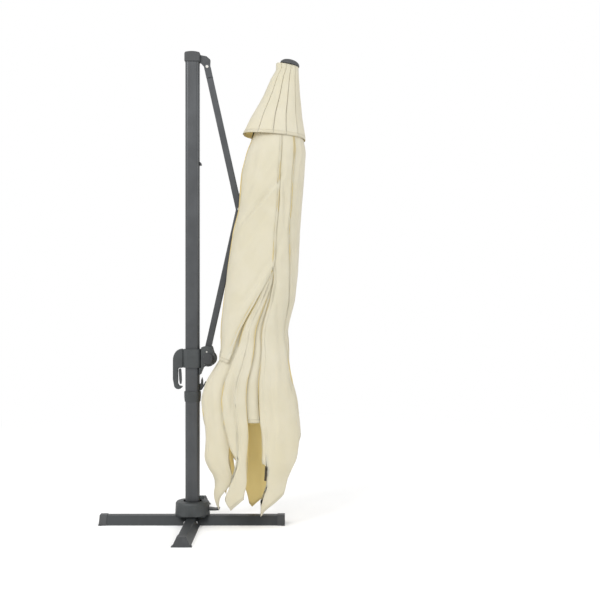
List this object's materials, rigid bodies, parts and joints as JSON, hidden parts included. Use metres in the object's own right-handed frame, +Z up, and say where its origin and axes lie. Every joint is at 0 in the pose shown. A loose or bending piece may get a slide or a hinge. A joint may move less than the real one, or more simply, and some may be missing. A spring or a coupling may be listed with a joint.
{
  "type": "cantilever parasol",
  "caption": "Free-standing garden parasol with an offset mast on a cross stand, a sliding handle, a lifting arm and its closed cloth canopy hanging beside the mast.",
  "frame": {"origin": "on the mast's axis at the underside of the cross stand", "axes": "+Z up along the mast, +X towards the side on which the arm and canopy hang"},
  "size_m": [1.1262, 1.011, 2.5829],
  "materials": {
    "stand_steel": "anthracite powder coat on folded steel profile",
    "mast_aluminium": "anthracite powder coat on extruded aluminium",
    "fitting_steel": "anthracite powder coat on steel fittings",
    "cap_plastic": "moulded black-grey plastic, fine texture",
    "grey_plastic": "moulded dark grey plastic, fine texture",
    "bright_steel": "zinc-plated steel",
    "rib_aluminium": "dark powder coat on thin aluminium profile",
    "canopy_cloth": "sand white woven polyester, plain weave with sewn hems"
  },
  "bodies": {
    "base": {"cross_beam": "stand_steel", "half_beam_front": "stand_steel", "half_beam_rear": "stand_steel", "end_cap_left": "cap_plastic", "end_cap_right": "cap_plastic", "end_cap_front": "cap_plastic", "end_cap_rear": "cap_plastic", "base_plate": "stand_steel", "swivel_post": "bright_steel", "swivel_housing": "grey_plastic", "pedal_pin": "bright_steel"},
    "pedal": {"foot_pedal": "cap_plastic"},
    "mast": {"mast_tube": "mast_aluminium", "mast_foot": "fitting_steel", "mast_lug": "grey_plastic", "mast_cap": "cap_plastic", "strut_pivot_pin": "bright_steel", "upper_stop": "cap_plastic", "lower_stop": "grey_plastic", "cleat": "cap_plastic"},
    "strut": {"strut_tube": "mast_aluminium", "strut_upper_fork": "fitting_steel", "strut_lower_fork": "fitting_steel", "strut_arm_pin": "bright_steel"},
    "arm": {"arm_tube": "mast_aluminium", "arm_heel": "mast_aluminium", "head_bracket": "mast_aluminium", "finial": "cap_plastic", "crown": "cap_plastic", "lower_hub": "cap_plastic", "rib_left_mid": "rib_aluminium", "rib_front_left": "rib_aluminium", "rib_front_mid": "rib_aluminium", "rib_front_right": "rib_aluminium", "rib_right_mid": "rib_aluminium", "rib_rear_right": "rib_aluminium", "rib_rear_mid": "rib_aluminium", "rib_rear_left": "rib_aluminium", "stretcher_left_mid": "rib_aluminium", "stretcher_front_left": "rib_aluminium", "stretcher_front_mid": "rib_aluminium", "stretcher_front_right": "rib_aluminium", "stretcher_right_mid": "rib_aluminium", "stretcher_rear_right": "rib_aluminium", "stretcher_rear_mid": "rib_aluminium", "stretcher_rear_left": "rib_aluminium", "canopy_front": "canopy_cloth", "canopy_rear": "canopy_cloth", "canopy_vent": "canopy_cloth"},
    "slider": {"slider_sleeve": "grey_plastic", "glide_liner": "cap_plastic", "housing_front": "grey_plastic", "housing_rear": "grey_plastic", "heel_pin": "bright_steel", "grip": "grey_plastic"},
    "trigger": {"release_trigger": "cap_plastic"},
    "crank": {"crank_disc": "cap_plastic", "winch_drum": "cap_plastic"},
    "knob": {"crank_knob": "cap_plastic"}
  },
  "joints": [
    {"name": "pedal_press", "type": "hinge", "parent": "base", "child": "pedal", "pos_m": [0.061, 0, 0.0826], "axis": [0, 1, 0], "range_deg": [0, 14], "stiffness_Nm_per_rad": 4, "springref_deg": -8.59},
    {"name": "mast_swivel", "type": "hinge", "parent": "base", "child": "mast", "pos_m": [0, 0, 0.0566], "axis": [0, 0, 1], "continuous": true},
    {"name": "strut_lift", "type": "hinge", "parent": "mast", "child": "strut", "pos_m": [0.0808, 0, 2.4995], "axis": [0, -1, 0], "range_deg": [0, 56]},
    {"name": "arm_fold", "type": "hinge", "parent": "strut", "child": "arm", "pos_m": [0.25473, 0, 1.7214], "axis": [0, 1, 0], "range_deg": [0, 112]},
    {"name": "slider_pivot", "type": "hinge", "parent": "arm", "child": "slider", "pos_m": [0.0808, 0, 0.9433], "axis": [0, -1, 0], "range_deg": [0, 56]},
    {"name": "trigger_squeeze", "type": "hinge", "parent": "slider", "child": "trigger", "pos_m": [-0.069, 0, 0.8433], "axis": [0, 1, 0], "range_deg": [0, 4.5], "stiffness_Nm_per_rad": 2, "springref_deg": -3.44},
    {"name": "crank_turn", "type": "hinge", "parent": "slider", "child": "crank", "pos_m": [0.0888, 0, 0.9053], "axis": [0, -1, 0], "continuous": true},
    {"name": "knob_spin", "type": "hinge", "parent": "crank", "child": "knob", "pos_m": [0.1093, 0, 0.9053], "axis": [0, -1, 0], "continuous": true}
  ],
  "couplings": [
    {"joint": "arm_fold", "follows": "strut_lift", "ratio": 2},
    {"joint": "slider_pivot", "follows": "strut_lift", "ratio": 1}
  ]
}
